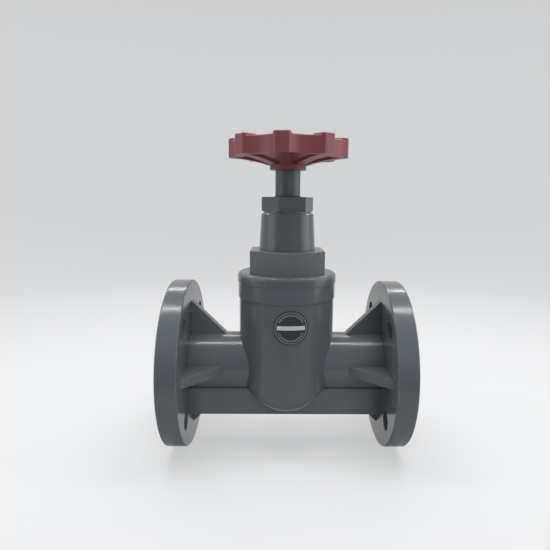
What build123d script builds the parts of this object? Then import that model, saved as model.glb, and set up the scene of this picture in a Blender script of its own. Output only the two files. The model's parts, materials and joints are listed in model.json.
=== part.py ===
"""Flanged plastic gate valve, nominal size 50, with a non-rising stem and a lobed handwheel.

Frame: the origin is where the flow axis crosses the stem axis. +X runs along the pipe, +Z up the
stem, and -Y is the front, which carries the label. The model stands with its gate fully raised.
"""
import os
from math import atan2, cos, degrees, radians, sin, sqrt, tan

from build123d import *

os.makedirs("parts", exist_ok=True)

# ---------------------------------------------------------------- driving dimensions, millimetres
# Pipe flanges
FACE_TO_FACE = 230.0
FLANGE_R = 83.5
FLANGE_THICK = 19.5
FLANGE_EDGE = 1.6
BOLT_CIRCLE_R = 62.5
# 0.1 mm either side of the standard 9.5, so that the two flanges' holes in line are distinct cylinders
BOLT_HOLE_LEFT_R = 9.4
BOLT_HOLE_RIGHT_R = 9.6
BOLT_COUNT = 4
BORE_R = 25.0
SEALING_GROOVE_RADII = (33.0, 37.0, 41.0)
SEALING_GROOVE_WIDTH = 1.2
SEALING_GROOVE_DEPTH = 0.8

# Body
NECK_R = 30.3
GUSSET_THICK = 9.2
GUSSET_TIP_R = 64.2
GUSSET_END_X = 61.0
GUSSET_ROOT = 4.0
KEEL_HALF_WIDTH = 24.5
KEEL_TOP_Z = -19.8
KEEL_BOTTOM_Z = -47.7
KEEL_CORNER = 1.5
CHAMBER_R = 47.4
CHAMBER_BOWL_R = 48.0
CHAMBER_BOWL_Z = 11.4
CHAMBER_EDGE = 9.0
RIM_R = 48.4
RIM_BOTTOM_Z = 68.8
RIM_CHAMFER = 0.8
SEAM_Z = 84.3

# Hollow of the body
HOLLOW_R = 40.5
HOLLOW_BOWL_R = 42.5
HOLLOW_BOWL_Z = 11.0
MOUTH_R = 43.0
MOUTH_BOTTOM_Z = 64.0
SEAT_BOSS_R = 34.5
SEAT_BOSS_X = 20.0
SEAT_BOSS_THICK = 9.0
RAIL_HALF_WIDTH = 3.0
RAIL_INNER_Y = 34.0
RAIL_BOTTOM_Z = -8.0

# Seats and gate
SEAT_R = 31.0
SEAT_GROOVE_INNER_R = 26.4
SEAT_GROOVE_OUTER_R = 29.6
SEAT_GROOVE_DEPTH = 2.1
SEAT_O_RING_R = 28.0
SEAT_O_RING_SECTION_R = 1.0
SEAT_POCKET_X = 25.0
SEAT_POCKET_MOUTH_X = 12.0
SEAT_MID_X = 15.3
WEDGE_ANGLE = 4.0
GATE_R = 29.0
GATE_MID_X = 15.0
GATE_LIFT = 55.0
GATE_EAR_Y = 36.2
GATE_EAR_HALF_HEIGHT = 11.0
GATE_EAR_HALF_WIDTH = 7.0
GATE_HEAD_R = 19.0
GATE_HEAD_BOTTOM = 32.0
GATE_HEAD_TOP = 47.0
GATE_WELL_R = 10.7
GATE_WELL_BOTTOM = -26.5
NUT_FLATS = 27.0
NUT_BOTTOM = 33.0
NUT_TOP = 44.0
NUT_CAP_R = 16.8

# Bonnet
BONNET_FLANGE_R = 49.0
BONNET_FLANGE_TOP_Z = 94.2
BONNET_FLANGE_EDGE = 3.6
BONNET_SEAM_CHAMFER = 0.5
SKIRT_BOTTOM_Z = 66.0
SKIRT_R = 42.9
SKIRT_INNER_R = 37.6
BLOCK_FLATS = 72.0
BLOCK_TOP_Z = 116.3
BLOCK_EDGE = 0.8
BONNET_HOLLOW_R = 27.5
BONNET_HOLLOW_TOP_Z = 104.0
TURRET_BASE_R = 27.7
TURRET_TOP_R = 25.7
TURRET_TOP_Z = 152.0
TURRET_CHAMFER = 1.2
GLAND_WELL_R = 19.0
GLAND_WELL_Z = 118.0
BUSH_R = 15.5

# Stem, seals and gland
STEM_R = 12.2
STEM_BOTTOM_Z = 30.0
THREAD_TOP_Z = 103.0
THREAD_R = 10.0
THREAD_ROOT_R = 8.2
THREAD_PITCH = 4.0
THREAD_FLANK = 0.7
THREAD_CREST = 1.3
THREAD_RELIEF = 5.0
COLLAR_R = 17.5
COLLAR_BOTTOM_Z = 120.05
COLLAR_TOP_Z = 126.0
WASHER_R = 18.6
WASHER_THICK = 2.0
CARRIER_BOTTOM_Z = 128.1
CARRIER_TOP_Z = 145.0
ORING_R = 1.3
INNER_SEAL_Z = (133.0, 139.5)
OUTER_SEAL_Z = 136.2
WIPER_R = 15.5
WIPER_THICK = 3.6
WIPER_BACK = 0.7
WIPER_LIP = 1.0
GLAND_FLATS = 44.6
GLAND_BOTTOM_Z = 153.6
GLAND_TOP_Z = 167.5
GLAND_TURN = 40.0
GLAND_SHOULDER_R = 23.6
GLAND_LOWER_CHAMFER = 1.6
GLAND_UPPER_CHAMFER = 0.8

# Handwheel
WHEEL_R = 58.0
LOBE_COUNT = 8
LOBE_TIP_HALF = 6.4
LOBE_PAD_HALF = 7.8
LOBE_CORNER = 3.0
VALLEY_R = 50.0
PAD_MIDDLE_R = 50.7
WHEEL_TURN = -96.9
WHEEL_BOTTOM_Z = 204.9
WHEEL_WALL_TOP_Z = 221.0
LOBE_TOP_Z = 223.1
WHEEL_EDGE = 1.4
WHEEL_INNER_R = 42.5
WEB_HUB_Z = 199.3
WEB_RIM_Z = 206.4
WEB_THICK = 4.5
ARM_HALF_WIDTH = 5.5
ARM_HUB_Z = 196.8
ARM_MIDDLE = (34.0, 201.9)
ARM_START_R = 15.6
ARM_END_R = 55.0
ARM_TOP_IN_WEB = 3.0
HUB_R = 17.6
HUB_BOTTOM_Z = 193.4
HUB_TOP_Z = 220.3
HUB_EDGE = 1.2
SQUARE_SIDE = 15.0
SQUARE_BOTTOM_Z = 196.2
SQUARE_TOP_Z = 211.5
HUB_WELL_R = 14.0
HUB_WELL_Z = 212.0
SCREW_R = 4.0
SCREW_LENGTH = 18.0
SCREW_HOLE_DEPTH = 20.0
SCREW_HEAD_R = 6.5
SCREW_HEAD_TOP_Z = 218.3
SCREW_HEAD_EDGE = 0.8
SCREW_SOCKET_R = 2.5
SCREW_SOCKET_DEPTH = 3.0
SCREW_WASHER_THICK = 1.6
CAP_TOP_Z = 221.6
CAP_CROWN = 1.7
CAP_WALL = 2.0
CAP_TOP_THICK = 2.8
CAP_FOOT = 2.6

# Label
LABEL_X = 3.3
LABEL_Z = 47.6
LABEL_R = 16.3
LABEL_THICK = 0.6

# ---------------------------------------------------------------- derived sizes and shared planes
FLANGE_BACK_X = FACE_TO_FACE / 2 - FLANGE_THICK
WEDGE_SLOPE = tan(radians(WEDGE_ANGLE))
PRESS_GAP = 0.05
RUNNING_GAP = 0.06
FIT_GAP = 0.1
SLIDE_GAP = 0.3
REACH = 60.0
STEM_RUNNING_R = STEM_R + RUNNING_GAP

GATE_FRONT = Plane(origin=(0, 0, GATE_LIFT), x_dir=(1, 0, 0), z_dir=(0, -1, 0))
GATE_SIDE = Plane(origin=(0, 0, GATE_LIFT), x_dir=(0, 1, 0), z_dir=(1, 0, 0))


def gate_level(height):
    """Horizontal plane at a height measured from the middle of the raised gate."""
    return Plane.XY.offset(GATE_LIFT + height)


def save(part, name):
    """Label a finished piece and write its STEP file."""
    part.label = name
    export_step(part, f"parts/{name}.step")


def circles_of(radius, edges):
    """Round edges of one radius."""
    return edges.filter_by(GeomType.CIRCLE).filter_by(lambda edge: abs(edge.radius - radius) < 0.01)


def flat_ring(inner_r, outer_r, bottom_z, top_z):
    """Plain ring round the stem axis."""
    with BuildPart() as ring:
        with BuildSketch(Plane.XY.offset(bottom_z)):
            Circle(outer_r)
            Circle(inner_r, mode=Mode.SUBTRACT)
        extrude(amount=top_z - bottom_z)
    return ring.part


def o_ring(centre_r, section_r, z):
    """Round-section ring round the stem axis."""
    with BuildPart() as ring:
        with BuildSketch(Plane.XZ):
            with Locations((centre_r, z)):
                Circle(section_r)
        revolve(axis=Axis.Z)
    return ring.part


# ---------------------------------------------------------------- valve body
# Hollow that the gate travels in: a round well with a bowl-shaped floor.
with BuildPart() as hollow:
    with BuildSketch(Plane.XY.offset(HOLLOW_BOWL_Z - HOLLOW_BOWL_R)):
        Circle(HOLLOW_R)
    extrude(amount=SEAM_Z + 1 - HOLLOW_BOWL_Z + HOLLOW_BOWL_R)
    with BuildSketch(Plane.XZ):
        with BuildLine():
            RadiusArc((-HOLLOW_BOWL_R, HOLLOW_BOWL_Z), (HOLLOW_BOWL_R, HOLLOW_BOWL_Z), -HOLLOW_BOWL_R)
            Polyline(
                (HOLLOW_BOWL_R, HOLLOW_BOWL_Z),
                (HOLLOW_BOWL_R, SEAM_Z + 2),
                (-HOLLOW_BOWL_R, SEAM_Z + 2),
                (-HOLLOW_BOWL_R, HOLLOW_BOWL_Z),
            )
        make_face()
    extrude(amount=REACH, both=True, mode=Mode.INTERSECT)
    # the bonnet's skirt screws into a wider mouth
    with BuildSketch(Plane.XY.offset(MOUTH_BOTTOM_Z)):
        Circle(MOUTH_R)
    extrude(amount=SEAM_Z + 1 - MOUTH_BOTTOM_Z)

with BuildPart() as valve_body:
    # chamber: a round column whose lower end is rounded into a bowl
    with BuildSketch(Plane.XY.offset(-REACH)):
        Circle(CHAMBER_R)
    extrude(amount=RIM_BOTTOM_Z + 1 + REACH)
    with BuildSketch(Plane.XZ):
        with BuildLine():
            RadiusArc((-CHAMBER_BOWL_R, CHAMBER_BOWL_Z), (CHAMBER_BOWL_R, CHAMBER_BOWL_Z), -CHAMBER_BOWL_R)
            Polyline(
                (CHAMBER_BOWL_R, CHAMBER_BOWL_Z),
                (CHAMBER_BOWL_R, SEAM_Z),
                (-CHAMBER_BOWL_R, SEAM_Z),
                (-CHAMBER_BOWL_R, CHAMBER_BOWL_Z),
            )
        make_face()
    extrude(amount=REACH, both=True, mode=Mode.INTERSECT)
    fillet(valve_body.edges().filter_by(GeomType.BSPLINE), CHAMBER_EDGE)
    # rim that the bonnet sits on
    with BuildSketch(Plane.XY.offset(RIM_BOTTOM_Z)):
        Circle(RIM_R)
    extrude(amount=SEAM_Z - RIM_BOTTOM_Z)
    chamfer(circles_of(RIM_R, valve_body.edges()).sort_by(Axis.Z)[0], RIM_CHAMFER)
    # pipe necks and the keel under them
    with BuildSketch(Plane.YZ):
        Circle(NECK_R)
    extrude(amount=FLANGE_BACK_X + 1, both=True)
    with BuildSketch(Plane.YZ):
        with Locations((0, (KEEL_TOP_Z + KEEL_BOTTOM_Z) / 2)):
            RectangleRounded(2 * KEEL_HALF_WIDTH, KEEL_TOP_Z - KEEL_BOTTOM_Z, KEEL_CORNER)
    extrude(amount=FLANGE_BACK_X + 1, both=True)
    # flanges
    for side in (-1, 1):
        with BuildSketch(Plane.YZ.offset(side * FLANGE_BACK_X)):
            Circle(FLANGE_R)
        extrude(amount=side * FLANGE_THICK)
    fillet(circles_of(FLANGE_R, valve_body.edges()), FLANGE_EDGE)
    # gussets above, below, in front of and behind each neck
    for side in (-1, 1):
        near, far = side * FLANGE_BACK_X, side * (FLANGE_BACK_X + 1)
        for plane in (Plane.XZ, Plane.XY):
            for up in (-1, 1):
                with BuildSketch(plane):
                    with BuildLine():
                        Polyline(
                            (far, up * GUSSET_TIP_R),
                            (near, up * GUSSET_TIP_R),
                            (side * GUSSET_END_X, up * NECK_R),
                            (side * GUSSET_END_X, up * (NECK_R - GUSSET_ROOT)),
                            (far, up * (NECK_R - GUSSET_ROOT)),
                            close=True,
                        )
                    make_face()
                extrude(amount=GUSSET_THICK / 2, both=True)
    # hollow, seat bosses and the rails that guide the gate
    add(hollow.part, mode=Mode.SUBTRACT)
    for side in (-1, 1):
        with BuildSketch(Plane.YZ.offset(side * SEAT_BOSS_X)):
            Circle(NECK_R)
        extrude(amount=side * (HOLLOW_R - SEAT_BOSS_X))
        with BuildSketch(Plane.YZ.offset(side * SEAT_BOSS_X)):
            Circle(SEAT_BOSS_R)
        extrude(amount=side * SEAT_BOSS_THICK)
        with BuildSketch(Plane.XY.offset(RAIL_BOTTOM_Z)):
            with Locations((0, side * (RAIL_INNER_Y + HOLLOW_R + 1) / 2)):
                Rectangle(2 * RAIL_HALF_WIDTH, HOLLOW_R + 1 - RAIL_INNER_Y)
        extrude(amount=MOUTH_BOTTOM_Z - 1 - RAIL_BOTTOM_Z)
    # flow bore, seat pockets, bolt holes and the shallow rings turned in the sealing faces
    with BuildSketch(Plane.YZ):
        Circle(BORE_R)
    extrude(amount=FACE_TO_FACE / 2 + 1, both=True, mode=Mode.SUBTRACT)
    for side, bolt_hole_r in ((-1, BOLT_HOLE_LEFT_R), (1, BOLT_HOLE_RIGHT_R)):
        with BuildSketch(Plane.YZ.offset(side * SEAT_POCKET_MOUTH_X)):
            Circle(SEAT_R)
        extrude(amount=side * (SEAT_POCKET_X - SEAT_POCKET_MOUTH_X), mode=Mode.SUBTRACT)
        with BuildSketch(Plane.YZ.offset(side * FLANGE_BACK_X)):
            with PolarLocations(BOLT_CIRCLE_R, BOLT_COUNT, start_angle=180 / BOLT_COUNT):
                Circle(bolt_hole_r)
        extrude(amount=side * FLANGE_THICK, mode=Mode.SUBTRACT)
        with BuildSketch(Plane.YZ.offset(side * FACE_TO_FACE / 2)):
            for groove_r in SEALING_GROOVE_RADII:
                Circle(groove_r)
                Circle(groove_r - SEALING_GROOVE_WIDTH, mode=Mode.SUBTRACT)
        extrude(amount=-side * SEALING_GROOVE_DEPTH, mode=Mode.SUBTRACT)
save(valve_body.part, "valve_body")

# ---------------------------------------------------------------- seats
for side, hand in ((-1, "left"), (1, "right")):
    with BuildPart() as seat_ring:
        with BuildSketch(Plane.YZ.offset(side * SEAT_POCKET_X)):
            Circle(SEAT_R - PRESS_GAP)
            Circle(BORE_R, mode=Mode.SUBTRACT)
        extrude(amount=-side * SEAT_POCKET_X)
        # groove for the backing ring
        with BuildSketch(Plane.YZ.offset(side * SEAT_POCKET_X)):
            Circle(SEAT_GROOVE_OUTER_R)
            Circle(SEAT_GROOVE_INNER_R, mode=Mode.SUBTRACT)
        extrude(amount=-side * SEAT_GROOVE_DEPTH, mode=Mode.SUBTRACT)
        # sloping face towards the gate
        slope = Plane(origin=(side * SEAT_MID_X, 0, 0), x_dir=(0, 1, 0), z_dir=(side, 0, -WEDGE_SLOPE))
        split(bisect_by=slope, keep=Keep.TOP)
    save(seat_ring.part, f"seat_ring_{hand}")

    with BuildPart() as seat_o_ring:
        with BuildSketch(Plane.XY):
            with Locations((side * (SEAT_POCKET_X - SEAT_GROOVE_DEPTH / 2), SEAT_O_RING_R)):
                Circle(SEAT_O_RING_SECTION_R)
        revolve(axis=Axis.X)
    save(seat_o_ring.part, f"seat_o_ring_{hand}")

# ---------------------------------------------------------------- gate and its nut
with BuildPart() as gate:
    # wedge disc
    with BuildSketch(GATE_SIDE):
        Circle(GATE_R)
    extrude(amount=REACH / 2, both=True)
    with BuildSketch(GATE_SIDE):
        Rectangle(2 * GATE_EAR_Y, 2 * GATE_EAR_HALF_HEIGHT)
    extrude(amount=GATE_EAR_HALF_WIDTH, both=True)
    with BuildSketch(gate_level(0)):
        Circle(GATE_HEAD_R)
    extrude(amount=GATE_HEAD_BOTTOM)
    with BuildSketch(GATE_FRONT):
        Polygon(
            (-GATE_MID_X + REACH * WEDGE_SLOPE, -REACH),
            (GATE_MID_X - REACH * WEDGE_SLOPE, -REACH),
            (GATE_MID_X + REACH * WEDGE_SLOPE, REACH),
            (-GATE_MID_X - REACH * WEDGE_SLOPE, REACH),
            align=None,
        )
    extrude(amount=REACH, both=True, mode=Mode.INTERSECT)
    # head that holds the nut, above the disc
    with BuildSketch(gate_level(GATE_HEAD_BOTTOM)):
        Circle(GATE_HEAD_R)
    extrude(amount=GATE_HEAD_TOP - GATE_HEAD_BOTTOM)
    # slots that run on the rails
    with BuildSketch(gate_level(-GATE_EAR_HALF_HEIGHT - 1)):
        with Locations((0, GATE_EAR_Y + 1), (0, -GATE_EAR_Y - 1)):
            Rectangle(2 * (RAIL_HALF_WIDTH + SLIDE_GAP), 2 * (GATE_EAR_Y + 1 - RAIL_INNER_Y + SLIDE_GAP))
    extrude(amount=2 * GATE_EAR_HALF_HEIGHT + 2, mode=Mode.SUBTRACT)
    # well for the stem, pocket for the nut and seat for its cap
    with BuildSketch(gate_level(GATE_WELL_BOTTOM)):
        Circle(GATE_WELL_R)
    extrude(amount=GATE_HEAD_TOP - GATE_WELL_BOTTOM, mode=Mode.SUBTRACT)
    with BuildSketch(gate_level(NUT_BOTTOM)):
        RegularPolygon(NUT_FLATS / 2 + FIT_GAP, 6, major_radius=False)
    extrude(amount=GATE_HEAD_TOP - NUT_BOTTOM, mode=Mode.SUBTRACT)
    with BuildSketch(gate_level(NUT_TOP)):
        Circle(NUT_CAP_R)
    extrude(amount=GATE_HEAD_TOP - NUT_TOP, mode=Mode.SUBTRACT)
save(gate.part, "gate")

with BuildPart() as gate_nut:
    with BuildSketch(gate_level(NUT_BOTTOM)):
        RegularPolygon(NUT_FLATS / 2, 6, major_radius=False)
        Circle(THREAD_R + RUNNING_GAP, mode=Mode.SUBTRACT)
    extrude(amount=NUT_TOP - NUT_BOTTOM)
save(gate_nut.part, "gate_nut")

nut_cap = flat_ring(GATE_WELL_R, NUT_CAP_R - PRESS_GAP, GATE_LIFT + NUT_TOP, GATE_LIFT + GATE_HEAD_TOP)
save(nut_cap, "gate_nut_cap")

# ---------------------------------------------------------------- bonnet
with BuildPart() as bonnet:
    # flange over the body's rim, with a well rounded upper edge
    with BuildSketch(Plane.XY.offset(SEAM_Z)):
        Circle(BONNET_FLANGE_R)
    extrude(amount=BONNET_FLANGE_TOP_Z - SEAM_Z)
    fillet(bonnet.edges().sort_by(Axis.Z)[-1], BONNET_FLANGE_EDGE)
    chamfer(bonnet.edges().sort_by(Axis.Z)[0], BONNET_SEAM_CHAMFER)
    # hexagon for the wrench, one corner to the front
    with BuildSketch(Plane.XY.offset(BONNET_FLANGE_TOP_Z - 1)):
        RegularPolygon(BLOCK_FLATS / 2, 6, major_radius=False, rotation=30)
    extrude(amount=BLOCK_TOP_Z - BONNET_FLANGE_TOP_Z + 1)
    fillet(bonnet.faces().sort_by(Axis.Z)[-1].edges(), BLOCK_EDGE)
    # tapered turret
    with BuildSketch(Plane.XY.offset(BLOCK_TOP_Z - 1)):
        Circle(TURRET_BASE_R)
    with BuildSketch(Plane.XY.offset(TURRET_TOP_Z)):
        Circle(TURRET_TOP_R)
    loft()
    chamfer(bonnet.edges().sort_by(Axis.Z)[-1], TURRET_CHAMFER)
    # skirt that screws into the body
    with BuildSketch(Plane.XY.offset(SKIRT_BOTTOM_Z)):
        Circle(SKIRT_R)
    extrude(amount=SEAM_Z - SKIRT_BOTTOM_Z + 1)
    # hollow for the raised gate, bush bore and gland well
    with BuildSketch(Plane.XY.offset(SKIRT_BOTTOM_Z)):
        Circle(SKIRT_INNER_R)
    extrude(amount=SEAM_Z + 2 - SKIRT_BOTTOM_Z, mode=Mode.SUBTRACT)
    with BuildSketch(Plane.XY.offset(SEAM_Z)):
        Circle(BONNET_HOLLOW_R)
    extrude(amount=BONNET_HOLLOW_TOP_Z - SEAM_Z, mode=Mode.SUBTRACT)
    with BuildSketch(Plane.XY.offset(BONNET_HOLLOW_TOP_Z - 1)):
        Circle(BUSH_R)
    extrude(amount=GLAND_WELL_Z - BONNET_HOLLOW_TOP_Z + 2, mode=Mode.SUBTRACT)
    with BuildSketch(Plane.XY.offset(GLAND_WELL_Z)):
        Circle(GLAND_WELL_R)
    extrude(amount=TURRET_TOP_Z - GLAND_WELL_Z + 1, mode=Mode.SUBTRACT)
save(bonnet.part, "bonnet")

save(flat_ring(SKIRT_INNER_R + SLIDE_GAP, MOUTH_R - FIT_GAP, MOUTH_BOTTOM_Z, SKIRT_BOTTOM_Z), "bonnet_gasket")
save(flat_ring(STEM_RUNNING_R, BUSH_R - PRESS_GAP, BONNET_HOLLOW_TOP_Z, GLAND_WELL_Z), "stem_bush")

# ---------------------------------------------------------------- stem
with BuildPart() as stem:
    with BuildSketch(Plane.XZ):
        with BuildLine():
            turns = int((THREAD_TOP_Z - STEM_BOTTOM_Z - THREAD_RELIEF) / THREAD_PITCH)
            outline = [(0, STEM_BOTTOM_Z), (THREAD_ROOT_R, STEM_BOTTOM_Z)]
            for turn in range(turns):
                foot = STEM_BOTTOM_Z + 1 + turn * THREAD_PITCH
                outline += [
                    (THREAD_ROOT_R, foot),
                    (THREAD_R, foot + THREAD_FLANK),
                    (THREAD_R, foot + THREAD_FLANK + THREAD_CREST),
                    (THREAD_ROOT_R, foot + 2 * THREAD_FLANK + THREAD_CREST),
                ]
            outline += [
                (THREAD_ROOT_R, THREAD_TOP_Z - 1),
                (STEM_R - 1, THREAD_TOP_Z),
                (STEM_R, THREAD_TOP_Z + 1),
                (STEM_R, COLLAR_BOTTOM_Z),
                (COLLAR_R, COLLAR_BOTTOM_Z),
                (COLLAR_R, COLLAR_TOP_Z),
                (STEM_R, COLLAR_TOP_Z),
                (STEM_R, SQUARE_BOTTOM_Z),
                (0, SQUARE_BOTTOM_Z),
            ]
            Polyline(*outline, close=True)
        make_face()
    revolve(axis=Axis.Z)
    # square that drives the handwheel, tapped for its screw
    with BuildSketch(Plane.XY.offset(SQUARE_BOTTOM_Z)):
        Rectangle(SQUARE_SIDE, SQUARE_SIDE, rotation=WHEEL_TURN)
    extrude(amount=SQUARE_TOP_Z - SQUARE_BOTTOM_Z)
    with BuildSketch(Plane.XY.offset(SQUARE_TOP_Z - SCREW_HOLE_DEPTH)):
        Circle(SCREW_R + PRESS_GAP)
    extrude(amount=SCREW_HOLE_DEPTH, mode=Mode.SUBTRACT)
save(stem.part, "stem")

# ---------------------------------------------------------------- thrust washers, seals and gland
save(flat_ring(STEM_R + FIT_GAP, WASHER_R, GLAND_WELL_Z, GLAND_WELL_Z + WASHER_THICK), "thrust_washer_lower")
save(flat_ring(STEM_R + FIT_GAP, WASHER_R, COLLAR_TOP_Z + PRESS_GAP, CARRIER_BOTTOM_Z), "thrust_washer_upper")

with BuildPart() as seal_carrier:
    with BuildSketch(Plane.XY.offset(CARRIER_BOTTOM_Z)):
        Circle(GLAND_WELL_R - PRESS_GAP)
        Circle(STEM_RUNNING_R, mode=Mode.SUBTRACT)
    extrude(amount=CARRIER_TOP_Z - CARRIER_BOTTOM_Z)
    for z in INNER_SEAL_Z:
        with BuildSketch(Plane.XY.offset(z - ORING_R - FIT_GAP)):
            Circle(STEM_R + 2 * ORING_R + FIT_GAP)
            Circle(STEM_R - 1, mode=Mode.SUBTRACT)
        extrude(amount=2 * (ORING_R + FIT_GAP), mode=Mode.SUBTRACT)
    with BuildSketch(Plane.XY.offset(OUTER_SEAL_Z - ORING_R - FIT_GAP)):
        Circle(GLAND_WELL_R + 1)
        Circle(GLAND_WELL_R - 2 * ORING_R - FIT_GAP, mode=Mode.SUBTRACT)
    extrude(amount=2 * (ORING_R + FIT_GAP), mode=Mode.SUBTRACT)
save(seal_carrier.part, "seal_carrier")

for place, z in zip(("lower", "upper"), INNER_SEAL_Z):
    save(o_ring(STEM_RUNNING_R + ORING_R, ORING_R, z), f"stem_o_ring_{place}")
save(o_ring(GLAND_WELL_R - PRESS_GAP - ORING_R, ORING_R, OUTER_SEAL_Z), "carrier_o_ring")

with BuildPart() as gland_nut:
    with BuildSketch(Plane.XY.offset(CARRIER_TOP_Z)):
        Circle(GLAND_WELL_R - FIT_GAP)
    extrude(amount=GLAND_BOTTOM_Z - CARRIER_TOP_Z)
    # round shoulder that bears on the turret, under the hexagon
    with BuildSketch(Plane.XY.offset(TURRET_TOP_Z)):
        Circle(GLAND_SHOULDER_R)
    extrude(amount=GLAND_BOTTOM_Z - TURRET_TOP_Z)
    with BuildSketch(Plane.XY.offset(GLAND_BOTTOM_Z)):
        RegularPolygon(GLAND_FLATS / 2, 6, major_radius=False, rotation=GLAND_TURN - 90)
    extrude(amount=GLAND_TOP_Z - GLAND_BOTTOM_Z)
    # corners turned off above and below
    with BuildSketch(Plane.XZ):
        with BuildLine():
            corner_r = GLAND_FLATS / sqrt(3)
            Polyline(
                (0, CARRIER_TOP_Z - 1),
                (corner_r - GLAND_LOWER_CHAMFER, CARRIER_TOP_Z - 1),
                (corner_r - GLAND_LOWER_CHAMFER, GLAND_BOTTOM_Z),
                (corner_r, GLAND_BOTTOM_Z + GLAND_LOWER_CHAMFER / 2),
                (corner_r, GLAND_TOP_Z - GLAND_UPPER_CHAMFER / 2),
                (corner_r - GLAND_UPPER_CHAMFER, GLAND_TOP_Z),
                (0, GLAND_TOP_Z),
                close=True,
            )
        make_face()
    revolve(axis=Axis.Z, mode=Mode.INTERSECT)
    with BuildSketch(Plane.XY.offset(CARRIER_TOP_Z)):
        Circle(STEM_R + SLIDE_GAP)
    extrude(amount=GLAND_TOP_Z - CARRIER_TOP_Z, mode=Mode.SUBTRACT)
    with BuildSketch(Plane.XY.offset(GLAND_TOP_Z - WIPER_THICK)):
        Circle(WIPER_R)
    extrude(amount=WIPER_THICK, mode=Mode.SUBTRACT)
save(gland_nut.part, "gland_nut")

with BuildPart() as stem_wiper:
    with BuildSketch(Plane.XZ):
        with BuildLine():
            foot = GLAND_TOP_Z - WIPER_THICK
            Polyline(
                (STEM_R + WIPER_BACK, foot),
                (WIPER_R - PRESS_GAP, foot),
                (WIPER_R - PRESS_GAP, GLAND_TOP_Z),
                (STEM_R + 2 * WIPER_BACK, GLAND_TOP_Z),
                (STEM_RUNNING_R, GLAND_TOP_Z + WIPER_LIP),
                (STEM_RUNNING_R, GLAND_TOP_Z + WIPER_LIP / 2),
                close=True,
            )
        make_face()
    revolve(axis=Axis.Z)
save(stem_wiper.part, "stem_wiper")

# ---------------------------------------------------------------- handwheel


def polar(radius, angle):
    """Point at an angle in degrees anticlockwise from +X."""
    return radius * cos(radians(angle)), radius * sin(radians(angle))


LOBE_STEP = 360 / LOBE_COUNT
TIP_ANGLE = degrees(atan2(LOBE_TIP_HALF, WHEEL_R))

# outline of the wheel: eight lobes with hollow curves between them
with BuildSketch() as wheel_outline:
    with BuildLine():
        for index in range(LOBE_COUNT):
            middle = WHEEL_TURN + index * LOBE_STEP
            tip_end = polar(WHEEL_R, middle + TIP_ANGLE)
            next_tip = polar(WHEEL_R, middle + LOBE_STEP - TIP_ANGLE)
            Line(polar(WHEEL_R, middle - TIP_ANGLE), tip_end)
            ThreePointArc(tip_end, polar(VALLEY_R, middle + LOBE_STEP / 2), next_tip)
    make_face()
    fillet(wheel_outline.vertices(), LOBE_CORNER)

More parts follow.
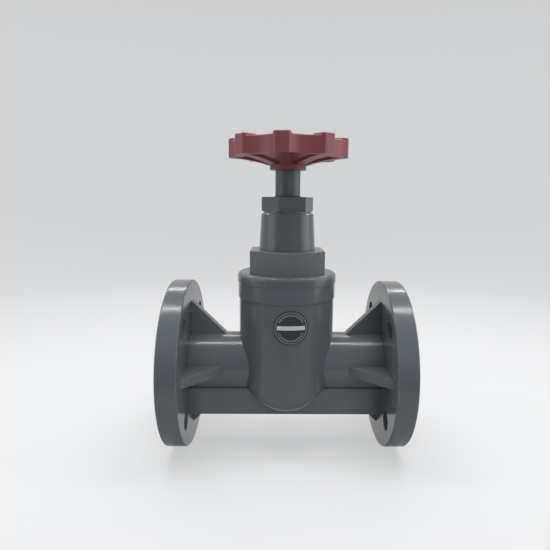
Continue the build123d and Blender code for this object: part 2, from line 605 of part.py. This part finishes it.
with BuildPart() as handwheel:
    # wall
    with BuildSketch(Plane.XY.offset(WHEEL_BOTTOM_Z)):
        add(wheel_outline.sketch)
    extrude(amount=WHEEL_WALL_TOP_Z - WHEEL_BOTTOM_Z)
    fillet(handwheel.faces().sort_by(Axis.Z)[-1].edges(), WHEEL_EDGE)
    # a pad on each lobe rises a little above the wall
    with BuildSketch(Plane.XY.offset(WHEEL_WALL_TOP_Z - 2 * WHEEL_EDGE)):
        with PolarLocations(PAD_MIDDLE_R, LOBE_COUNT, start_angle=WHEEL_TURN):
            Rectangle(2 * (WHEEL_R - PAD_MIDDLE_R), 2 * LOBE_PAD_HALF)
        add(wheel_outline.sketch, mode=Mode.INTERSECT)
    extrude(amount=LOBE_TOP_Z - WHEEL_WALL_TOP_Z + 2 * WHEEL_EDGE)
    fillet(handwheel.faces().filter_by(Axis.Z).group_by(Axis.Z)[-1].edges(), WHEEL_EDGE)
    # the wall is a ring, and a conical web slopes down from it to the hub
    with BuildSketch(Plane.XY.offset(WHEEL_BOTTOM_Z - 1)):
        Circle(WHEEL_INNER_R)
    extrude(amount=LOBE_TOP_Z - WHEEL_BOTTOM_Z + 2, mode=Mode.SUBTRACT)
    with BuildSketch(Plane.XZ):
        with BuildLine():
            Polyline(
                (ARM_START_R, WEB_HUB_Z),
                (WHEEL_INNER_R + 1, WEB_RIM_Z),
                (WHEEL_INNER_R + 1, WEB_RIM_Z + WEB_THICK),
                (ARM_START_R, WEB_HUB_Z + WEB_THICK),
                close=True,
            )
        make_face()
    revolve(axis=Axis.Z)
    # hub
    with BuildSketch(Plane.XY.offset(HUB_BOTTOM_Z)):
        Circle(HUB_R)
    extrude(amount=HUB_TOP_Z - HUB_BOTTOM_Z)
    fillet(circles_of(HUB_R, handwheel.edges()).sort_by(Axis.Z)[-1], HUB_EDGE)
    # arms under the web, one to each lobe
    for index in range(LOBE_COUNT):
        arm_angle = radians(WHEEL_TURN + index * LOBE_STEP)
        arm_x = (cos(arm_angle), sin(arm_angle), 0)
        with BuildSketch(Plane(origin=(0, 0, 0), x_dir=arm_x, z_dir=(sin(arm_angle), -cos(arm_angle), 0))):
            with BuildLine():
                ThreePointArc((ARM_START_R, ARM_HUB_Z), ARM_MIDDLE, (ARM_END_R, WHEEL_BOTTOM_Z))
                Polyline(
                    (ARM_END_R, WHEEL_BOTTOM_Z),
                    (ARM_END_R, WEB_RIM_Z + ARM_TOP_IN_WEB),
                    (ARM_START_R, WEB_HUB_Z + ARM_TOP_IN_WEB),
                    (ARM_START_R, ARM_HUB_Z),
                )
            make_face()
        extrude(amount=ARM_HALF_WIDTH, both=True)
    # socket for the stem, square hole, and well for the screw and cap
    with BuildSketch(Plane.XY.offset(HUB_BOTTOM_Z)):
        Circle(STEM_R + FIT_GAP)
    extrude(amount=SQUARE_BOTTOM_Z - HUB_BOTTOM_Z, mode=Mode.SUBTRACT)
    with BuildSketch(Plane.XY.offset(SQUARE_BOTTOM_Z)):
        Rectangle(SQUARE_SIDE + FIT_GAP, SQUARE_SIDE + FIT_GAP, rotation=WHEEL_TURN)
    extrude(amount=HUB_WELL_Z - SQUARE_BOTTOM_Z, mode=Mode.SUBTRACT)
    with BuildSketch(Plane.XY.offset(HUB_WELL_Z)):
        Circle(HUB_WELL_R)
    extrude(amount=HUB_TOP_Z - HUB_WELL_Z, mode=Mode.SUBTRACT)
save(handwheel.part, "handwheel")

SCREW_HEAD_Z = HUB_WELL_Z + SCREW_WASHER_THICK
save(flat_ring(SCREW_R + SLIDE_GAP, HUB_WELL_R - 1, HUB_WELL_Z, SCREW_HEAD_Z), "handwheel_washer")

with BuildPart() as handwheel_screw:
    with BuildSketch(Plane.XY.offset(SQUARE_TOP_Z - SCREW_LENGTH)):
        Circle(SCREW_R)
    extrude(amount=SCREW_HEAD_Z - SQUARE_TOP_Z + SCREW_LENGTH)
    with BuildSketch(Plane.XY.offset(SCREW_HEAD_Z)):
        Circle(SCREW_HEAD_R)
    extrude(amount=SCREW_HEAD_TOP_Z - SCREW_HEAD_Z)
    fillet(handwheel_screw.edges().sort_by(Axis.Z)[-1], SCREW_HEAD_EDGE)
    with BuildSketch(Plane.XY.offset(SCREW_HEAD_TOP_Z - SCREW_SOCKET_DEPTH)):
        RegularPolygon(SCREW_SOCKET_R, 6, major_radius=False)
    extrude(amount=SCREW_SOCKET_DEPTH, mode=Mode.SUBTRACT)
save(handwheel_screw.part, "handwheel_screw")

CAP_R = HUB_WELL_R - FIT_GAP
with BuildPart() as handwheel_cap:
    with BuildSketch(Plane.XZ):
        with BuildLine():
            ThreePointArc((0, CAP_TOP_Z), (CAP_R / 2, CAP_TOP_Z - CAP_CROWN / 4), (CAP_R, CAP_TOP_Z - CAP_CROWN))
            Polyline(
                (CAP_R, CAP_TOP_Z - CAP_CROWN),
                (CAP_R, HUB_WELL_Z + CAP_FOOT),
                (CAP_R - CAP_WALL, HUB_WELL_Z + CAP_FOOT),
                (CAP_R - CAP_WALL, CAP_TOP_Z - CAP_TOP_THICK),
                (0, CAP_TOP_Z - CAP_TOP_THICK),
                (0, CAP_TOP_Z),
            )
        make_face()
    revolve(axis=Axis.Z)
save(handwheel_cap.part, "handwheel_cap")

# ---------------------------------------------------------------- label
LABEL_BACK_R = CHAMBER_R + 0.02
with BuildPart() as label_disc:
    with BuildSketch(Plane.XY.offset(LABEL_Z - LABEL_R - 1)):
        Circle(LABEL_BACK_R + LABEL_THICK)
        Circle(LABEL_BACK_R, mode=Mode.SUBTRACT)
    extrude(amount=2 * LABEL_R + 2)
    with BuildSketch(Plane.XZ):
        with Locations((LABEL_X, LABEL_Z)):
            Circle(LABEL_R)
    extrude(amount=REACH, mode=Mode.INTERSECT)
save(label_disc.part, "label_disc")
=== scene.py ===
"""Looks of the flanged plastic gate valve: materials, printed label, studio and camera.

Everything is in metres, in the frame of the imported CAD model: the flow axis along X, the stem up Z,
the labelled front towards -Y.
"""
import json
import math

import bmesh
import bpy
from mathutils import Matrix, Vector


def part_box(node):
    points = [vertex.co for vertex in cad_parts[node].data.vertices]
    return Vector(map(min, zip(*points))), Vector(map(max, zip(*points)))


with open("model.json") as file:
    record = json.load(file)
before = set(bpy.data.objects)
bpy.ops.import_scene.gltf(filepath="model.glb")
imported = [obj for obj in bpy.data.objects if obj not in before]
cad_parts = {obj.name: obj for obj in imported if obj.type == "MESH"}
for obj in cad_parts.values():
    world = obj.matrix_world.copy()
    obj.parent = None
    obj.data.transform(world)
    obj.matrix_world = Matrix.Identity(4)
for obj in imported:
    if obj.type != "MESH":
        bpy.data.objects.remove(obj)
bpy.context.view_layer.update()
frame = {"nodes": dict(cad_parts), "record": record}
nodes = frame["nodes"]

# ---------------------------------------------------------------- places taken from the frame
body_low, body_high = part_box("valve_body")
label_low, label_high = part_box("label_disc")
FLOOR_Z = body_low.z
LABEL_X = (label_low.x + label_high.x) / 2
LABEL_Z = (label_low.z + label_high.z) / 2
LABEL_R = (label_high.z - label_low.z) / 2

# ---------------------------------------------------------------- colours and textures
BODY_GREY = (0.088, 0.098, 0.108)
WHEEL_RED = (0.2, 0.054, 0.065)
PTFE_WHITE = (0.78, 0.78, 0.75)
BEARING_CREAM = (0.7, 0.66, 0.55)
SEAL_BLACK = (0.02, 0.02, 0.021)
NUT_BRASS = (0.72, 0.5, 0.2)
SCREW_STEEL = (0.58, 0.57, 0.55)
LABEL_BLACK = (0.03, 0.034, 0.038)
LABEL_INK = (0.55, 0.56, 0.57)

# texture scales, in features per metre
CLOUD_SCALE = 28.0
FLECK_SCALE = 2600.0
SMUDGE_SCALE = 60.0
PEEL_SCALE = 900.0
DRIFT_SCALE = 40.0
EDGE_PATCH_SCALE = 180.0
TOOL_MARK_SCALE = 300.0
TOOL_MARK_STRETCH = (1, 1, 40)

# the part of a noise texture's range that most of its surface falls in
NOISE_LOW, NOISE_HIGH = 0.3, 0.7
FLECK_LIGHTER = 1.35
# outer edges made lighter as a painted edge highlight and rougher from wear: how far in from the edge, how
# much lighter, how much rougher
EDGE_HIGHLIGHT_AND_WEAR_REACH = 0.0008
EDGE_HIGHLIGHT_LIGHTER = 1.5
WEAR_DULLER = 0.12
METAL_ROUGHNESS = 0.3

# ---------------------------------------------------------------- printed design of the label
# middle and half width of each printed ring, as shares of the label's radius
LABEL_RIM_LINE = (0.9, 0.018)
LABEL_DASH_BAND = (0.75, 0.055)
LABEL_DASHES = 34
# half length and half width of the bar, and the half height that the dashes leave free for it
LABEL_BAR = (0.8, 0.12)
LABEL_DASH_CLEAR = 0.3
# strength of the rings' ink, next to the bar's
LABEL_FINE_PRINT = 0.4


# ---------------------------------------------------------------- node helpers
def new_material(name):
    """Empty node material with a Principled shader; returns the material, its tree and the shader."""
    material = bpy.data.materials.new(name)
    material.use_nodes = True
    tree = material.node_tree
    shader = tree.nodes["Principled BSDF"]
    return material, tree, shader


def noise(tree, scale, detail=3.0, roughness=0.5, stretch=None):
    """Noise texture in object space, scale in features per metre, optionally stretched."""
    where = tree.nodes.new("ShaderNodeTexCoord")
    socket = where.outputs["Object"]
    if stretch:
        mapping = tree.nodes.new("ShaderNodeMapping")
        mapping.inputs["Scale"].default_value = stretch
        tree.links.new(socket, mapping.inputs["Vector"])
        socket = mapping.outputs["Vector"]
    texture = tree.nodes.new("ShaderNodeTexNoise")
    texture.inputs["Scale"].default_value = scale
    texture.inputs["Detail"].default_value = detail
    texture.inputs["Roughness"].default_value = roughness
    tree.links.new(socket, texture.inputs["Vector"])
    return texture.outputs["Fac"]


def ramp(tree, factor, stops):
    """Colour ramp over a factor; stops are (position, colour)."""
    node = tree.nodes.new("ShaderNodeValToRGB")
    elements = node.color_ramp.elements
    while len(elements) < len(stops):
        elements.new(0.5)
    for element, (position, colour) in zip(elements, stops):
        element.position = position
        element.color = (*colour, 1.0)
    tree.links.new(factor, node.inputs["Fac"])
    return node.outputs["Color"]


def spread(tree, factor, low, high):
    """Maps the usual range of a noise factor onto low to high."""
    node = tree.nodes.new("ShaderNodeMapRange")
    node.inputs["From Min"].default_value = NOISE_LOW
    node.inputs["From Max"].default_value = NOISE_HIGH
    node.inputs["To Min"].default_value = low
    node.inputs["To Max"].default_value = high
    tree.links.new(factor, node.inputs["Value"])
    return node.outputs["Result"]


def mix_colour(tree, factor, first, second):
    """Mixes two colours, each a socket or a tuple."""
    node = tree.nodes.new("ShaderNodeMix")
    node.data_type = "RGBA"
    # sockets of a colour mix: 0 is the factor, 6 and 7 are the colours, and 2 is the result
    for socket, value in ((node.inputs[0], factor), (node.inputs[6], first), (node.inputs[7], second)):
        if isinstance(value, bpy.types.NodeSocket):
            tree.links.new(value, socket)
        elif isinstance(value, tuple):
            socket.default_value = (*value, 1.0)
        else:
            socket.default_value = value
    return node.outputs[2]


def bump(tree, height, strength, distance, normal=None):
    """Normal raised by a height, on top of another normal if one is given."""
    node = tree.nodes.new("ShaderNodeBump")
    node.inputs["Strength"].default_value = strength
    node.inputs["Distance"].default_value = distance
    tree.links.new(height, node.inputs["Height"])
    if normal is not None:
        tree.links.new(normal, node.inputs["Normal"])
    return node.outputs["Normal"]


def calc(tree, operation, first, second=0.0):
    """One math operation on two sockets or numbers."""
    node = tree.nodes.new("ShaderNodeMath")
    node.operation = operation
    for socket, value in zip(node.inputs, (first, second)):
        if isinstance(value, bpy.types.NodeSocket):
            tree.links.new(value, socket)
        else:
            socket.default_value = value
    return node.outputs["Value"]


def edge_highlight_and_wear(tree, reach):
    """Factor that is 0 on flat stretches and rises to 1 on outer edges, broken up by noise; it places a
    painted edge highlight and edge wear.
    """
    inside = tree.nodes.new("ShaderNodeAmbientOcclusion")
    inside.inside = True
    inside.only_local = True
    inside.samples = 6
    inside.inputs["Distance"].default_value = reach
    edge = calc(tree, "SUBTRACT", 1.0, inside.outputs["AO"])
    patchy = spread(tree, noise(tree, EDGE_PATCH_SCALE, detail=4.0), 0.5, 1.6)
    highlight_and_wear = calc(tree, "MULTIPLY", edge, patchy)
    highlight_and_wear.node.use_clamp = True
    return highlight_and_wear


def shade(colour, factor):
    """The colour made lighter or darker."""
    return tuple(min(1.0, channel * factor) for channel in colour)


# ---------------------------------------------------------------- materials
def moulded_plastic(name, colour, roughness=0.3, mottling=0.04, specular=0.5):
    """Injection-moulded plastic: cloudy colour, faint orange peel, handling marks, a painted highlight on
    the edges and edges rougher from wear.
    """
    material, tree, shader = new_material(name)
    cloud = ramp(
        tree,
        noise(tree, CLOUD_SCALE, detail=4.0),
        [(NOISE_LOW, shade(colour, 1 - mottling)), (NOISE_HIGH, shade(colour, 1 + mottling))],
    )
    speck = ramp(tree, noise(tree, FLECK_SCALE, detail=1.0), [(0.7, (0, 0, 0)), (0.82, (1, 1, 1))])
    flecked = mix_colour(tree, speck, cloud, shade(colour, FLECK_LIGHTER))
    # mask of the outer edges: lighter there as a painted highlight, rougher there from wear
    edge_highlight_and_wear_mask = edge_highlight_and_wear(tree, EDGE_HIGHLIGHT_AND_WEAR_REACH)
    # painted highlight: the outer edges are made lighter in colour
    edge_highlighted_colour = mix_colour(tree, edge_highlight_and_wear_mask, flecked, shade(colour, EDGE_HIGHLIGHT_LIGHTER))
    tree.links.new(edge_highlighted_colour, shader.inputs["Base Color"])
    smudge = noise(tree, SMUDGE_SCALE, detail=6.0, roughness=0.65)
    polish = spread(tree, smudge, roughness - 0.03, roughness + 0.04)
    dulled = calc(tree, "ADD", polish, calc(tree, "MULTIPLY", edge_highlight_and_wear_mask, WEAR_DULLER))
    tree.links.new(dulled, shader.inputs["Roughness"])
    peel = bump(tree, noise(tree, PEEL_SCALE, detail=2.0), 0.06, 0.0002)
    drift = bump(tree, noise(tree, DRIFT_SCALE, detail=1.0), 0.12, 0.0006, peel)
    tree.links.new(drift, shader.inputs["Normal"])
    shader.inputs["Specular IOR Level"].default_value = specular
    shader.inputs["IOR"].default_value = 1.5
    return material


def rubber(name, colour):
    """Matt rubber with a fine grain and a dusty bloom."""
    material, tree, shader = new_material(name)
    bloom = noise(tree, 150.0, detail=5.0)
    cloud = ramp(tree, bloom, [(NOISE_LOW, shade(colour, 0.75)), (0.75, shade(colour, 1.6))])
    tree.links.new(cloud, shader.inputs["Base Color"])
    tree.links.new(spread(tree, noise(tree, 400.0), 0.55, 0.8), shader.inputs["Roughness"])
    tree.links.new(bump(tree, noise(tree, 3000.0), 0.2, 0.0002), shader.inputs["Normal"])
    return material


def machined_metal(name, colour):
    """Turned or drawn metal with fine tool marks."""
    material, tree, shader = new_material(name)
    marks = noise(tree, TOOL_MARK_SCALE, detail=6.0, roughness=0.7, stretch=TOOL_MARK_STRETCH)
    tone = ramp(tree, marks, [(0.25, shade(colour, 0.82)), (0.75, shade(colour, 1.1))])
    tree.links.new(tone, shader.inputs["Base Color"])
    polish = spread(tree, marks, METAL_ROUGHNESS - 0.08, METAL_ROUGHNESS + 0.12)
    tree.links.new(polish, shader.inputs["Roughness"])
    tree.links.new(bump(tree, marks, 0.25, 0.0001), shader.inputs["Normal"])
    shader.inputs["Metallic"].default_value = 1.0
    return material


def printed_label(name, colour, ink):
    """Dark vinyl disc with a plain printed design: a rim line, a circle of dashes and a bar."""
    material, tree, shader = new_material(name)
    where = tree.nodes.new("ShaderNodeTexCoord")
    axes = tree.nodes.new("ShaderNodeSeparateXYZ")
    tree.links.new(where.outputs["Object"], axes.inputs["Vector"])
    across = calc(tree, "DIVIDE", calc(tree, "SUBTRACT", axes.outputs["X"], LABEL_X), LABEL_R)
    along = calc(tree, "DIVIDE", calc(tree, "SUBTRACT", axes.outputs["Z"], LABEL_Z), LABEL_R)
    squares = calc(tree, "ADD", calc(tree, "POWER", across, 2.0), calc(tree, "POWER", along, 2.0))
    radius = calc(tree, "SQRT", squares)
    angle = calc(tree, "ARCTAN2", along, across)

    def band(value, middle, half_width):
        """1 where the value is within a half width of the middle, 0 elsewhere."""
        distance = calc(tree, "ABSOLUTE", calc(tree, "SUBTRACT", value, middle))
        return calc(tree, "LESS_THAN", distance, half_width)

    rim_line = band(radius, *LABEL_RIM_LINE)
    dash = calc(tree, "GREATER_THAN", calc(tree, "SINE", calc(tree, "MULTIPLY", angle, LABEL_DASHES)), 0.0)
    away_from_bar = calc(tree, "GREATER_THAN", calc(tree, "ABSOLUTE", along), LABEL_DASH_CLEAR)
    kept_dash = calc(tree, "MULTIPLY", dash, away_from_bar)
    dashes = calc(tree, "MULTIPLY", band(radius, *LABEL_DASH_BAND), kept_dash)
    bar_length, bar_width = LABEL_BAR
    bar = calc(tree, "MULTIPLY", band(across, 0.0, bar_length), band(along, 0.0, bar_width))
    fine_print = calc(tree, "MULTIPLY", calc(tree, "MAXIMUM", rim_line, dashes), LABEL_FINE_PRINT)
    printed = calc(tree, "MAXIMUM", fine_print, bar)
    thin_ink = calc(tree, "MULTIPLY", printed, spread(tree, noise(tree, 1800.0, detail=3.0), 0.8, 1.0))
    vinyl = noise(tree, 500.0, detail=4.0)
    tone = ramp(tree, vinyl, [(NOISE_LOW, shade(colour, 0.85)), (NOISE_HIGH, shade(colour, 1.15))])
    tree.links.new(mix_colour(tree, thin_ink, tone, ink), shader.inputs["Base Color"])
    tree.links.new(spread(tree, noise(tree, 220.0, detail=5.0), 0.42, 0.55), shader.inputs["Roughness"])
    tree.links.new(bump(tree, noise(tree, 5000.0), 0.12, 0.0001), shader.inputs["Normal"])
    return material


LOOKS = {
    "body_pvc": moulded_plastic("body_pvc_look", BODY_GREY, roughness=0.2),
    "bonnet_pvc": moulded_plastic("bonnet_pvc_look", shade(BODY_GREY, 0.9), roughness=0.25),
    "gland_pvc": moulded_plastic("gland_pvc_look", shade(BODY_GREY, 0.85), roughness=0.26),
    "stem_pvc": moulded_plastic("stem_pvc_look", shade(BODY_GREY, 0.86), roughness=0.42),
    "gate_pvc": moulded_plastic("gate_pvc_look", BODY_GREY, roughness=0.3),
    "seat_ptfe": moulded_plastic("seat_ptfe_look", PTFE_WHITE, roughness=0.45, mottling=0.02),
    "seal_rubber": rubber("seal_rubber_look", SEAL_BLACK),
    "bearing_plastic": moulded_plastic("bearing_plastic_look", BEARING_CREAM, roughness=0.4, mottling=0.03),
    "nut_brass": machined_metal("nut_brass_look", NUT_BRASS),
    "wheel_red": moulded_plastic("wheel_red_look", WHEEL_RED, roughness=0.42, specular=0.42),
    "cap_red": moulded_plastic("cap_red_look", shade(WHEEL_RED, 0.9), roughness=0.42),
    "screw_steel": machined_metal("screw_steel_look", SCREW_STEEL),
    "label": printed_label("label_look", LABEL_BLACK, LABEL_INK),
}

for entry in frame["record"]["subparts"]:
    node = nodes[entry["node"]]
    node.data.materials.clear()
    node.data.materials.append(LOOKS[entry["material_slot"]])


# ---------------------------------------------------------------- studio
COVE_R = 1.7
COVE_BEND = 0.7
COVE_HEIGHT = 1.9
COVE_SIDES = 96
COVE_BEND_STEPS = 16
MERGE_DISTANCE = 1e-5
# the rear piece of the cove starts here, and a dimmer floor lies in front of it
BRIGHT_FROM_Y = -0.03
FLOOR_FRONT_Y = -0.32
FLOOR_DROP = 0.001
PAPER_GREY = (0.22, 0.22, 0.222)
PAPER_GLOW = 0.5
SHADOW_PAPER_GREY = (0.3, 0.3, 0.305)
SHADOW_PAPER_GLOW = 0.12
AIR_TINT = (0.85, 0.92, 1.0)
AIR_GLOW = 0.16
# name, place, point that it faces, size, watts, whether it shows in reflections
PANELS = [
    ("overhead_strip", (0, -0.031, 0.62), (0, -0.031, 0), (1.3, 0.03), 3.6, True),
    ("rear_strip", (0, 0.58, 0.71), (0, 0, 0.03), (1.6, 0.03), 4.0, True),
    ("overhead_soft", (0, 0.0, 1.1), (0, 0, 0), (1.2, 1.0), 11.5, False),
    ("right_box", (0.8, -0.1, 0.22), (0, 0, 0.08), (0.6, 0.6), 1.8, True),
    ("left_box", (-0.9, -0.3, 0.25), (0, 0, 0.1), (0.6, 0.6), 1.6, True),
    ("front_fill", (0.72, -2.32, 1.09), (0, 0, 0.05), (1.6, 1.12), 19.0, False),
    ("low_fill", (0.3, -1.3, 0.0), (0, 0, 0.2), (1.2, 0.14), 2.6, False),
]


def glowing_paper(name, colour, glow):
    """Matt pale paper that is also lit evenly from behind."""
    material, tree, shader = new_material(name)
    tone = ramp(tree, noise(tree, 3.0), [(NOISE_LOW, shade(colour, 0.98)), (NOISE_HIGH, colour)])
    tree.links.new(tone, shader.inputs["Base Color"])
    shader.inputs["Roughness"].default_value = 0.85
    shader.inputs["Specular IOR Level"].default_value = 0.1
    shader.inputs["Emission Color"].default_value = (0.98, 0.99, 1.0, 1.0)
    shader.inputs["Emission Strength"].default_value = glow
    return material


def cove(name, material, rear):
    """Round floor that curves up into a wall, cut in two; only the rear piece shows in reflections."""
    profile = [(0.0, 0.0), (COVE_R - COVE_BEND, 0.0)]
    for step in range(1, COVE_BEND_STEPS + 1):
        angle = math.pi / 2 * step / COVE_BEND_STEPS
        profile.append((COVE_R - COVE_BEND * (1 - math.sin(angle)), COVE_BEND * (1 - math.cos(angle))))
    profile.append((COVE_R, COVE_HEIGHT))
    mesh = bmesh.new()
    line = [mesh.verts.new((radius, 0, FLOOR_Z + height)) for radius, height in profile]
    edges = [mesh.edges.new(pair) for pair in zip(line, line[1:])]
    bmesh.ops.spin(
        mesh,
        geom=line + edges,
        cent=(0, 0, 0),
        axis=(0, 0, 1),
        angle=2 * math.pi,
        steps=COVE_SIDES,
        use_merge=True,
    )
    bmesh.ops.remove_doubles(mesh, verts=mesh.verts, dist=MERGE_DISTANCE)
    bmesh.ops.bisect_plane(
        mesh,
        geom=mesh.verts[:] + mesh.edges[:] + mesh.faces[:],
        plane_co=(0, BRIGHT_FROM_Y, 0),
        plane_no=(0, -1, 0) if rear else (0, 1, 0),
        clear_outer=True,
    )
    for face in mesh.faces:
        face.smooth = True
    bmesh.ops.recalc_face_normals(mesh, faces=mesh.faces)
    data = bpy.data.meshes.new(name)
    mesh.to_mesh(data)
    mesh.free()
    data.materials.append(material)
    backdrop = bpy.data.objects.new(name, data)
    backdrop.visible_glossy = rear
    backdrop.visible_diffuse = rear
    backdrop.visible_shadow = rear
    bpy.context.scene.collection.objects.link(backdrop)


def panel(name, place, target, size, power, reflected):
    """Rectangular soft light at a place, facing a target, that the camera doesn't see."""
    data = bpy.data.lights.new(name, "AREA")
    data.shape = "RECTANGLE"
    data.size, data.size_y = size
    data.energy = power
    light = bpy.data.objects.new(name, data)
    light.location = place
    light.rotation_euler = (Vector(target) - Vector(place)).to_track_quat("-Z", "Y").to_euler()
    light.visible_camera = False
    light.visible_glossy = reflected
    bpy.context.scene.collection.objects.link(light)


def dim_floor(name, material):
    """Floor in front of the object as it shows in reflections: the same paper, in shadow."""
    corners = [
        (x, y, FLOOR_Z - FLOOR_DROP)
        for x, y in (
            (-COVE_R, FLOOR_FRONT_Y),
            (COVE_R, FLOOR_FRONT_Y),
            (COVE_R, BRIGHT_FROM_Y),
            (-COVE_R, BRIGHT_FROM_Y),
        )
    ]
    data = bpy.data.meshes.new(name)
    data.from_pydata(corners, [], [(0, 1, 2, 3)])
    data.materials.append(material)
    floor = bpy.data.objects.new(name, data)
    floor.visible_camera = False
    bpy.context.scene.collection.objects.link(floor)


PAPER = glowing_paper("studio_paper", PAPER_GREY, PAPER_GLOW)
cove("studio_rear", PAPER, rear=True)
cove("studio_front", PAPER, rear=False)
dim_floor("studio_floor", glowing_paper("studio_shadow_paper", SHADOW_PAPER_GREY, SHADOW_PAPER_GLOW))
for row in PANELS:
    panel(*row)

world = bpy.data.worlds.new("studio")
world.use_nodes = True
world.node_tree.nodes["Background"].inputs["Color"].default_value = (*AIR_TINT, 1)
world.node_tree.nodes["Background"].inputs["Strength"].default_value = AIR_GLOW
bpy.context.scene.world = world

# ---------------------------------------------------------------- camera
# focal length as a share of the sensor's width, place in metres, and turns in radians
FOCAL_SHARE = 0.84381
SENSOR_WIDTH = 36.0
NEAR_CLIP = 0.01
CAMERA_PLACE = Vector((-0.00962, -0.46251, 0.16158))
PITCH_DOWN, YAW_RIGHT, ROLL = 0.15286, 0.01821, 0.01114
SHIFT_X, SHIFT_Y = -0.01931, -0.00049

forward = Vector((
    math.sin(YAW_RIGHT) * math.cos(PITCH_DOWN),
    math.cos(YAW_RIGHT) * math.cos(PITCH_DOWN),
    -math.sin(PITCH_DOWN),
))
level_right = Vector((math.cos(YAW_RIGHT), -math.sin(YAW_RIGHT), 0))
level_up = level_right.cross(forward)
right = math.cos(ROLL) * level_right + math.sin(ROLL) * level_up
up = -math.sin(ROLL) * level_right + math.cos(ROLL) * level_up

camera_data = bpy.data.cameras.new("camera")
camera_data.sensor_width = SENSOR_WIDTH
camera_data.lens = FOCAL_SHARE * camera_data.sensor_width
camera_data.shift_x = SHIFT_X
camera_data.shift_y = SHIFT_Y
camera_data.clip_start = NEAR_CLIP
camera = bpy.data.objects.new("camera", camera_data)
camera.matrix_world = Matrix.Translation(CAMERA_PLACE) @ Matrix((right, up, -forward)).transposed().to_4x4()
bpy.context.scene.collection.objects.link(camera)
bpy.context.scene.camera = camera
bpy.context.scene.view_settings.view_transform = "Standard"
